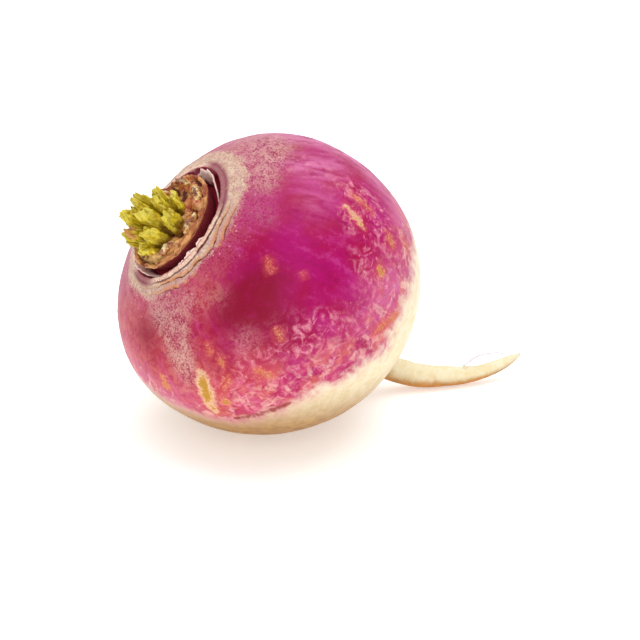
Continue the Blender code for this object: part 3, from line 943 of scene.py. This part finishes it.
def skinMaterial():
    made, tree, shader = startMaterial("turnipSkin", 0.42)
    spot = spotInMm(tree)
    grain = field(tree, "grain", "Vector")
    around = stretched(grain, (0.25, 0.25, 1.0))
    fine = cloud(spot, 0.42, detail=4, rough=0.7)
    medium = cloud(spot, 2.2, detail=4, rough=0.6, distortion=0.6)
    torn = cloud(spot, 2.4, detail=4, rough=0.62, distortion=0.9)
    streaks = cloud(stretched(grain, (1.0, 1.0, 0.16)), 1.3, detail=3)

    purple, dust = dustyTop(tree, spot, fine, medium, torn, streaks)
    purple, scratches = scratchedTop(tree, purple, spot, around, fine, medium, torn)
    feather = plus(field(tree, "blush"), swing(medium, 7.0), swing(streaks, 5.0), swing(torn, 3.0))
    skin = mixed(smooth(feather, -3.4, 2.0), whiteBelow(tree, spot, around, medium), purple)
    pinkEdge = times(smooth(feather, -7.0, -0.5), less(1.0, smooth(feather, -0.5, 1.5)))
    skin = paint(skinTones, skin, (times(pinkEdge, 0.3), "pinkEdge"))
    skin, scar = withScars(tree, skin, fine, torn)
    skin, band = withBand(tree, skin, spot, fine, medium, torn)
    corky = calc("MAXIMUM", smooth(band, -0.5, 0.3), smooth(scar, -0.3, 0.2))
    roughness = plus(0.40, times(corky, 0.3), times(dust, 0.2), swing(fine, 0.12))
    height = plus(times(fine, 0.5), times(torn, 0.6), times(scratches, 0.4))
    dress(shader, skin, roughness, height, 0.45, 0.16)
    feed(shader, "Specular IOR Level", 0.14)
    addGlow(shader, 0.08, (1.0, 0.35, 0.3), 1.2)
    return made


# Crown pieces

tuft = {
    "count": 15,
    "spacing": 1.736,
    "height": 12.0,
    "shorten": 0.5,
    "lean": math.radians(34),
    "turn": math.radians(137.508),
    "shift": 2.4,
    # each stalk is torn into stubs: turn round the stalk, distance from it, height share, thickness
    "stubs": [(0, 0, 1, 3.0), (1.2, 1.25, 0.88, 2.1), (-1.4, 1.2, 0.78, 2.1), (2.8, 1.1, 0.92, 1.8)],
    "dried": [4],  # stalks with a brown tip
    "ridges": 5,
    "sides": 28,
    "rings": 26,
}

stump = {
    "gap": 0.35,
    "foot": 10.81,
    "rim": 12.61,
    "cup": 11.31,
    "height": 5.35,
    "round": 0.5,
    "cupDepth": 1.9,
    "heartRise": 0.7,
    "fill": 0.75,  # how far torn tissue fills the cup
    "lumps": 1.3,
    "sides": 220,
}

leafBases = {
    "count": 6,
    "ring": 9.86,
    "thick": 1.8,
    "first": -125,
    "last": 125,
    "span": 38,
    "heights": [2.9, 2.4, 2.8, 3.3, 3.0, 2.6],
    "sides": 56,
    "rings": 16,
}

scaleLeaves = {
    # first and last bearing, height, where it stands between the stump, 0, and the moat's wall, 1, flare
    "scale_leaf_1": (-44, 30, 4.3, 0.45, 0.9),
    "scale_leaf_2": (44, 118, 3.2, 0.6, 0.2),
    "scale_leaf_3": (130, 198, 3.8, 0.7, 0.5),
    "scale_leaf_4": (208, 308, 3.6, 1.0, 0.5),
}
scaleThick = 0.4
scaleSteps = 110

rootlet = {
    # along, sideways, height over the taproot's top
    "route": [
        (21.8, -8.3, 0.55), (24.3, -8.2, 1.8), (26.9, -8.1, 2.55),
        (29.9, -8.0, 2.2), (32.8, -7.9, 1.55), (34.8, -8.6, 0.75),
    ],
    "radius": 0.28,
    "sides": 12,
    "steps": 14,
}

stumpFoot = dishFloor + stump["gap"]
stumpTop = stumpFoot + stump["height"]


def crownPoint(radius, bearing, height):
    across = crown["oval"] * radius * math.sin(bearing)
    return Vector((crown["shift"] + radius * math.cos(bearing), across, height))


def stumpPoint(radius, bearing, height):
    return crownPoint(radius, bearing, height) - Vector((crown["stumpShift"], 0, 0))


def stumpWall(bearing, height):
    share = min(1, max(0, (height - stumpFoot - stump["round"]) / (stump["height"] - 2 * stump["round"])))
    radius = stump["foot"] + (stump["rim"] - stump["foot"]) * share
    sideways = crown["stumpShift"] * math.sin(bearing)
    return math.sqrt(radius**2 - sideways**2) - crown["stumpShift"] * math.cos(bearing)


def cupFloor(radius):
    heart = stump["heartRise"] * max(0, 1 - (radius / stump["cup"]) ** 2)
    return stumpTop - stump["cupDepth"] + heart


def stumpProfile():
    # radius and height, from under the foot up the wall and down into the cup
    foot, rim, cup, soft = stump["foot"], stump["rim"], stump["cup"], stump["round"]
    points = [(0.5 * foot, stumpFoot), (foot - 0.4, stumpFoot)]
    for share in evenly(0, 1, 16):
        points.append((foot + (rim - foot) * share, stumpFoot + soft + (stump["height"] - 2 * soft) * share))
    points += [(rim, stumpTop - soft), (rim - 0.12, stumpTop - 0.2)]
    points += [(rim - 0.4, stumpTop), (rim - 0.75, stumpTop - 0.05)]
    wall = len(points)
    points += [(cup + 0.3 * share, stumpTop - 0.3 - 1.5 * (1 - share)) for share in evenly(1, 0, 6)]
    points += [(radius, cupFloor(radius)) for radius in evenly(cup, 0.6, 26)]
    return points, wall


def makeStump(material):
    profile, wallRings = stumpProfile()
    turns = circle(stump["sides"])
    bm = loft([[stumpPoint(radius, turn, height) for turn in turns] for radius, height in profile])
    layers = newLayers(bm, "hollow", "wall", "brim", "high", "low")
    grain = bm.verts.layers.float_vector.new("grain")
    ringOf, turnOf = bm.verts.layers.int["ring"], bm.verts.layers.int["turn"]
    for vert in bm.verts:
        place, ring, turn = vert.co.copy(), vert[ringOf], turns[vert[turnOf]]
        radius, height = profile[ring]
        bearing = math.degrees(turn + math.pi) % 360 - 180
        low = smoothStep(105, 150, abs(bearing))
        inCup = 0
        if height > stumpTop - 3 and ring >= wallRings - 1:
            inCup = smoothStep(stump["cup"] + 0.35, stump["cup"] - 0.5, radius)
        flat = Vector((place.x, place.y, 0))
        lumps = ripple(flat, 2.6, 6) + 0.45 * ripple(flat, 1.1, 2)
        fill = stump["lumps"] * lumps + stump["fill"] + 0.6 * low + smoothStep(6.5, 10.8, radius)
        ragged = 0.9 * ripple(flat, 2.6, 5) + 0.8 * ripple(flat, 0.9, 1)
        vert.co.z += smoothStep(stumpTop - 1.6, stumpTop, height) * (1 - inCup) * ragged + inCup * fill
        if ring > 1 and not inCup:
            folds = ripple(flat, 1.5, 3) + 0.5 * ripple(flat, 0.7, 8)
            vert.co += 0.2 * folds * (place - Vector((0, 0, place.z))).normalized()
        tell(vert, layers, {
            "hollow": lumps if inCup else 0,
            # wall: how far down the outer wall, for a painted shade that darkens towards the moat
            "wall": smoothStep(stumpTop - 0.2, stumpTop - 4.2, height) if ring < wallRings - 1 else 0,
            "brim": smoothStep(stump["cup"], stump["cup"] + 0.4, radius),
            "high": smoothStep(-62, -35, bearing) * smoothStep(75, 40, bearing),
            "low": low,
        })
        vert[grain] = (1.6 * math.cos(turn), 1.6 * math.sin(turn), height + 0.8 * radius)
    return addPiece("crown_stump", bm, material)


def makeLeafBase(number, material):
    step = (leafBases["last"] - leafBases["first"]) / (leafBases["count"] - 1)
    bearing = math.radians(leafBases["first"] + step * number)
    halfSpan = math.radians(0.5 * leafBases["span"])
    tall = leafBases["heights"][number]
    foot = cupFloor(leafBases["ring"] - leafBases["thick"] / 2) + 0.1
    sections = []
    for share in shares(leafBases["rings"]):
        loop = []
        for turn in circle(leafBases["sides"]):
            across = halfSpan * math.cos(turn) * (1 - 0.12 * share)
            out = 0.55 * leafBases["thick"] * math.sin(turn) * (1 - 0.4 * share**5)
            level = foot + share * tall * (1 - 0.35 * math.cos(turn) ** 2 * share)
            loop.append(stumpPoint(leafBases["ring"] + out + 0.2 * share, bearing + across, level))
        sections.append(loop)
    bm = loft(sections)
    layers = newLayers(bm, "tip", "tone")
    ringOf = bm.verts.layers.int["ring"]
    for vert in bm.verts:
        share = vert[ringOf] / leafBases["rings"]
        place = vert.co.copy()
        rough = 0.8 * ripple(place, 1.3, number) + 0.4 * ripple(place, 0.6, number + 5)
        vert.co += vert.normal * (0.2 + 0.5 * share) * rough
        vert.co.z += share * (1.3 * ripple(Vector((place.x, place.y, 0)), 1.1, number) - 0.1)
        tell(vert, layers, {"tip": share, "tone": (number * 0.37) % 1})
    return addPiece(f"leaf_base_{number + 1:02}", bm, material)


def joined(shapes):  # several closed shapes in one
    whole = shapes[0]
    for shape in shapes[1:]:
        carried = bpy.data.meshes.new("carried")
        shape.to_mesh(carried)
        shape.free()
        whole.from_mesh(carried)
        bpy.data.meshes.remove(carried)
    return whole


def stubLoop(centre, face, side, heading, share, thick, seed):
    # one ring of a stub: grooved inside, ridged all round, and cut off aslant
    taper = (1 - 0.1 * share) * (1 - 0.35 * smoothStep(0.9, 1.0, share))
    taper *= 1 + 0.14 * math.sin(7 * share + seed)
    loop = []
    for turn in circle(tuft["sides"]):
        groove = 1 - 0.4 * max(0, -math.cos(turn)) ** 3
        ridge = 1 + 0.09 * math.cos(tuft["ridges"] * turn + 3 * share + seed)
        half = 0.5 * thick * taper * ridge
        slant = 0.7 * smoothStep(0.7, 1, share) * math.cos(turn + seed)
        around = face * 0.8 * half * math.cos(turn) * groove + side * half * math.sin(turn)
        loop.append(centre + around + heading * slant)
    return loop


def makeStub(number, seed, aside, apart, tall, thick):
    distance = tuft["spacing"] * math.sqrt(number + 0.25)
    bearing = tuft["turn"] * number
    outward = distance / (tuft["spacing"] * math.sqrt(tuft["count"]))
    height = (tuft["height"] - tuft["shorten"] * number) * tall
    centre = stumpPoint(distance, bearing, cupFloor(0) - 0.4) - Vector((tuft["shift"], 0, 0))
    centre += apart * Vector((math.cos(bearing + aside), math.sin(bearing + aside), 0))
    out = Vector((math.cos(bearing), math.sin(bearing), 0))
    side = Vector((-math.sin(bearing), math.cos(bearing), 0))
    up = Vector((0, 0, 1))
    sections = []
    for share in shares(tuft["rings"]):
        lean = tuft["lean"] * outward * share
        heading = math.cos(lean) * up + math.sin(lean) * out
        face = math.cos(lean) * out - math.sin(lean) * up
        if sections:
            wander = ripple(Vector((seed * 5.3, 0, share * 3)), 1.0)
            centre = centre + heading * (height + 0.4) / tuft["rings"] + side * wander * 0.05
        sections.append(stubLoop(centre, face, side, heading, share, thick, seed))
    bm = loft(sections)
    layers = newLayers(bm, "tip", "tone", "dried")
    fibre = bm.verts.layers.float_vector.new("fibre")
    ringOf, turnOf = bm.verts.layers.int["ring"], bm.verts.layers.int["turn"]
    for vert in bm.verts:
        share = vert[ringOf] / tuft["rings"]
        turn = 2 * math.pi * vert[turnOf] / tuft["sides"]
        place = vert.co.copy()
        vert.co += vert.normal * (0.42 * ripple(place, 1.5, seed) + 0.2 * ripple(place, 0.6, seed + 3))
        vert.co += up * smoothStep(0.75, 1, share) * 1.4 * ripple(place, 0.8, seed + 7)
        tell(vert, layers, {"tip": share, "tone": (seed * 0.618 + 0.2) % 1, "dried": number in tuft["dried"]})
        vert[fibre] = (math.cos(turn) * 1.2 + seed * 7, math.sin(turn) * 1.2, share * height)
    return bm


def makeStalk(number, material):
    stubs = [makeStub(number, number + 20 * part, *stub) for part, stub in enumerate(tuft["stubs"])]
    return addPiece(f"leaf_stalk_{number + 1:02}", joined(stubs), material)


def scaleOutline():  # round a cut through the scale: outwards, upwards
    outer = [(1, level) for level in evenly(0.12, 1, 7)]
    inner = [(0, level) for level in evenly(0.9, 0.0, 8)]
    return [(0, 0), (0.5, 0), (1, 0), *outer, (0.9, 0.98), (0.5, 1.0), (0.1, 0.98), *inner]


def makeScaleLeaf(name, material):
    first, last, tallest, stand, flare = scaleLeaves[name]
    outline = scaleOutline()
    sections = []
    for share in shares(scaleSteps):
        bearing = math.radians(first + (last - first) * share)
        spot = Vector((first + 20 * share * abs(last - first) / 70, stand, 0))
        ragged = 1 + 0.22 * ripple(spot, 2.4) + 0.14 * ripple(spot, 0.7)
        tall = tallest * ragged * (0.3 + 0.7 * math.sin(math.pi * share) ** 0.6)
        bend = 0.35 * ripple(spot, 3.0, 2) + flare * tall / tallest
        loop = []
        for outward, level in outline:
            height = stumpFoot + tall * level
            nearest = stumpWall(bearing, height) + stump["gap"]
            furthest = moatWall(height) - stump["gap"] - 0.5
            radius = nearest + stand * (furthest - nearest) + outward * scaleThick + bend * level**2
            loop.append(crownPoint(radius, bearing, height))
        sections.append(loop)
    bm = loft(sections)
    layers = newLayers(bm, "tip")
    turnOf = bm.verts.layers.int["turn"]
    for vert in bm.verts:
        vert.co += vert.normal * 0.07 * ripple(vert.co, 0.9, 4)
        tell(vert, layers, {"tip": outline[vert[turnOf]][1]})
    return addPiece(name, bm, material)


def taprootTop(stations, x):
    for start, stop in zip(stations, stations[1:]):
        if x <= stop.x:
            between = start.lerp(stop, (x - start.x) / (stop.x - start.x))
            return between.z + between.w
    return stations[-1].z + stations[-1].w


def makeRootlet(material):
    stations = taprootStations()
    route = []
    for along, sideways, above in rootlet["route"]:
        x = stations[0].x + along
        route.append(upright @ Vector((x, sideways, taprootTop(stations, x) + above)))
    line = smoothLine(route, rootlet["steps"])
    line = [point + 0.07 * Vector((0, ripple(point, 0.8, 1), ripple(point, 0.8, 5))) for point in line]
    heading = (line[1] - line[0]).normalized()
    radii = []
    for index, point in enumerate(line):
        taper = 1 - 0.5 * index / (len(line) - 1)
        radii.append(rootlet["radius"] * taper * (1 + 0.2 * ripple(point, 0.4, 3)))
    bm = loft(carriedRings(line, radii, rootlet["sides"], heading.orthogonal().normalized(), heading))
    return addPiece("side_rootlet", bm, material)


stumpTones = {
    "brown": "a04c1c",
    "tan": "d89a50",
    "red": "b83a2c",
    "olive": "a88a2c",
    "pale": "ecc484",
    "hollowShade": "5e160c",
    "lumpHighlight": "ecc084",
    "rosyLumpHighlight": "e09470",
    "brim": "8e3416",
    "paleBrim": "dfa062",
    # dark maroon painted shade down the outer wall
    "wall": "7c1c28",
    "specks": "3a140a",
}


def stumpMaterial():
    made, tree, shader = startMaterial("driedCrownTissue", 0.6)
    spot = spotInMm(tree)
    tones = stumpTones
    fine = cloud(spot, 0.5, detail=4, rough=0.65)
    medium = cloud(spot, 1.8, detail=3, distortion=0.8)
    high, low = field(tree, "high"), field(tree, "low")
    hollow = plus(field(tree, "hollow"), swing(medium, 0.8))
    streaks = cloud(field(tree, "grain", "Vector"), 0.5, detail=3)
    brim = mixed(smooth(streaks, 0.4, 0.6), tones["brim"], tones["paleBrim"])
    # painted shade: darker down the stump's outer wall
    wall = plus(field(tree, "wall"), swing(medium, 0.35))
    base = paint(
        tones,
        mixed(smooth(medium, 0.35, 0.65), tones["brown"], tones["tan"]),
        (times(high, smooth(medium, 0.62, 0.42), 0.85), "red"),
        (times(low, 0.6), "olive"),
        (times(smooth(fine, 0.5, 0.7), 0.6), "pale"),
        # dark painted shade in the low spots of the cup's lumpy filling
        (times(smooth(hollow, 0.08, -0.25), 0.95), "hollowShade"),
        # cream and rosy tissue on the raised lumps, lightened as a painted highlight
        (times(smooth(hollow, 0.2, 0.55), 0.65), mixed(high, tones["lumpHighlight"], tones["rosyLumpHighlight"])),
        (times(field(tree, "brim"), 0.85), brim),
        (smooth(wall, 0.05, 0.3), "wall"),
        (times(effect(specks, spot, scale=1.1, size=0.3, cover=0.3), 0.6), "specks"),
    )
    dress(shader, base, plus(0.45, times(fine, 0.4)), plus(fine, medium), 0.7, 0.25)
    return made


baseTones = {
    "brown": "c4702c",
    "golden": "ecc56a",
    "tip": "f2dfa8",
    "rotten": "7a1c14",
    "threads": "d98a5c",
}


def leafBaseMaterial():
    made, tree, shader = startMaterial("cutLeafBase", 0.55)
    spot = spotInMm(tree)
    fine = cloud(spot, 0.45, detail=4, rough=0.65)
    medium = cloud(spot, 1.6, detail=3, distortion=0.8)
    golden = smooth(plus(medium, times(field(tree, "tone"), 0.2)), 0.4, 0.7)
    base = paint(
        baseTones,
        mixed(golden, baseTones["brown"], baseTones["golden"]),
        (smooth(plus(field(tree, "tip"), swing(medium, 1.2)), 0.75, 1.05), "tip"),
        (times(effect(blotches, spot, scale=0.5, cover=0.5, edge=0.05), 0.85), "rotten"),
        (times(effect(threads, spot, scale=0.9, width=0.05, cover=0.6), 0.5), "threads"),
    )
    dress(shader, base, plus(0.4, times(fine, 0.4)), plus(fine, medium), 0.6, 0.2)
    return made


stalkTones = {
    "green": "bca20a",
    "lemon": "e4cc22",
    "strandHighlight": "f8ee66",
    "creviceShade": "7c6404",
    "foot": "74440a",
    # painted shade low in the tuft
    "tornTip": "efe060",
    "brown": "b0701a",
    "dried": "c88a4a",
}


def stalkMaterial():
    made, tree, shader = startMaterial("trimmedStalk", 0.45)
    spot = spotInMm(tree)
    strands = cloud(stretched(field(tree, "fibre", "Vector"), (1.0, 1.0, 0.12)), 0.45, detail=4, rough=0.6)
    medium = cloud(spot, 2.0, detail=3)
    fine = cloud(spot, 0.4, detail=3)
    tone, tip = field(tree, "tone"), field(tree, "tip")
    lemon = smooth(plus(medium, times(tone, 0.35)), 0.45, 0.85)
    brown = effect(blotches, spot, scale=0.35, cover=times(tone, 0.3), edge=0.06)
    green = paint(
        stalkTones,
        mixed(lemon, stalkTones["green"], stalkTones["lemon"]),
        # pale fibre streaks, partly a painted highlight along the strands
        (times(smooth(strands, 0.5, 0.66), 0.6), "strandHighlight"),
        # dark streaks between the fibres: painted shade in the crevices
        (times(smooth(strands, 0.48, 0.36), 0.6), "creviceShade"),
        # darker brown towards the foot of each stalk: painted shade low down between the stalks
        (times(smooth(plus(tip, times(strands, 0.3)), 0.85, 0.35), 0.8), "foot"),
        (times(smooth(plus(tip, swing(fine, 0.35)), 0.9, 1.0), 0.5), "tornTip"),
        (times(brown, 0.5), "brown"),
        (times(field(tree, "dried"), smooth(tip, 0.8, 0.95), 0.9), "dried"),
    )
    dress(shader, green, plus(0.35, times(strands, 0.35)), plus(strands, times(fine, 0.4)), 0.8, 0.25)
    addGlow(shader, 0.25, (0.8, 0.8, 0.2), 0.8)
    return made


scaleTones = {
    "rosy": "f2c2b8",
    "cream": "ffe9de",
    "flecks": "f7e6d6",
    "foot": "8a3044",
    "specks": "5a2a20",
}


def scaleMaterial():
    made, tree, shader = startMaterial("paperyScale", 0.6)
    spot = spotInMm(tree)
    fine = cloud(spot, 0.4, detail=4, rough=0.65)
    medium = cloud(spot, 1.5, detail=3)
    base = paint(
        scaleTones,
        mixed(smooth(medium, 0.35, 0.7), scaleTones["rosy"], scaleTones["cream"]),
        (times(smooth(fine, 0.5, 0.75), 0.5), "flecks"),
        (smooth(plus(field(tree, "tip"), swing(medium, 0.7)), 0.6, 0.05), "foot"),
        (times(effect(specks, spot, scale=0.7, size=0.3, cover=0.35), 0.7), "specks"),
    )
    dress(shader, base, plus(0.45, times(fine, 0.35)), plus(fine, medium), 0.5, 0.12)
    return made


rootletTones = {
    "grey": "e2dce2",
    "lilac": "e6def0",
    "earthy": "c9bca8",
}


def rootletMaterial():
    made, tree, shader = startMaterial("fineRootlet", 0.6)
    spot = spotInMm(tree)
    base = paint(
        rootletTones,
        mixed(smooth(cloud(spot, 1.2, detail=3), 0.4, 0.65), rootletTones["grey"], rootletTones["lilac"]),
        (times(effect(blotches, spot, scale=0.5, cover=0.4, edge=0.05), 0.35), "earthy"),
    )
    dress(shader, base, 0.6, cloud(spot, 0.3, detail=3), 0.5, 0.05)
    return made


print("shaping the bulb and taproot")
makeSkin(skinMaterial())
print("shaping the crown")
makeStump(stumpMaterial())
baseMaterial = leafBaseMaterial()
for number in range(leafBases["count"]):
    makeLeafBase(number, baseMaterial)
stalkGreen = stalkMaterial()
for number in range(tuft["count"]):
    makeStalk(number, stalkGreen)
paper = scaleMaterial()
for name in scaleLeaves:
    makeScaleLeaf(name, paper)
print("laying the rootlet")
makeRootlet(rootletMaterial())

# Floor, light and camera

studio = {
    "floor": "f6f6f4",
    "floorSize": 6.0,
    "world": 0.56,
    "floorGlow": 0.42,  # a light table's
    # place, size, power
    "top": ((0.25, 0.15, 1.2), 1.4, 11.5),
    "front": ((-0.7, -1.1, 0.8), 1.0, 4.5),
}

camera = {
    "azimuth": math.radians(-28),
    "elevation": math.radians(22),
    "distance": 480,  # from the aim, in mm
    "aim": (0, 0, 37),
    "right": 13.07,  # the picture's middle is this far right of and under the aim
    "under": 9.78,
    "lens": 109.9,
}


def makeFloor():
    bm = bmesh.new()
    bmesh.ops.create_grid(bm, x_segments=1, y_segments=1, size=studio["floorSize"] / 2)
    mesh = bpy.data.meshes.new("floor")
    bm.to_mesh(mesh)
    bm.free()
    made, _, shader = startMaterial("paleFloor", 0.8)
    feed(shader, "Base Color", colour(studio["floor"]))
    feed(shader, "Emission Color", (1, 1, 1, 1))
    feed(shader, "Emission Strength", studio["floorGlow"])
    mesh.materials.append(made)
    floor = bpy.data.objects.new("floor", mesh)
    bpy.context.scene.collection.objects.link(floor)


def makeLight():
    world = bpy.data.worlds.new("studio")
    bpy.context.scene.world = world
    world.use_nodes = True
    background = world.node_tree.nodes["Background"]
    background.inputs["Color"].default_value = (1, 1, 1, 1)
    background.inputs["Strength"].default_value = studio["world"]
    for name in ("top", "front"):
        place, size, power = studio[name]
        light = bpy.data.lights.new(name, "AREA")
        light.size = size
        light.energy = power
        lamp = bpy.data.objects.new(name, light)
        lamp.location = place
        lamp.rotation_euler = (-Vector(place)).to_track_quat("-Z", "Y").to_euler()
        bpy.context.scene.collection.objects.link(lamp)


def makeCamera():
    azimuth, elevation = camera["azimuth"], camera["elevation"]
    level = math.cos(elevation)
    back = Vector((math.sin(azimuth) * level, -math.cos(azimuth) * level, math.sin(elevation)))
    right = Vector((math.cos(azimuth), math.sin(azimuth), 0))
    up = back.cross(right)
    aim = Vector(camera["aim"])
    eye = aim + camera["distance"] * back
    middle = aim + camera["right"] * right - camera["under"] * up
    away = (eye - middle).normalized()
    across = up.cross(away).normalized()
    turned = Matrix((across, away.cross(across), away)).transposed()
    data = bpy.data.cameras.new("camera")
    data.lens = camera["lens"]
    data.clip_start = 0.01
    made = bpy.data.objects.new("camera", data)
    made.matrix_world = Matrix.Translation(mm * eye) @ turned.to_4x4()
    bpy.context.scene.collection.objects.link(made)
    bpy.context.scene.camera = made


print("setting the floor, light and camera")
makeFloor()
makeLight()
makeCamera()
bpy.context.scene.view_settings.view_transform = "Standard"
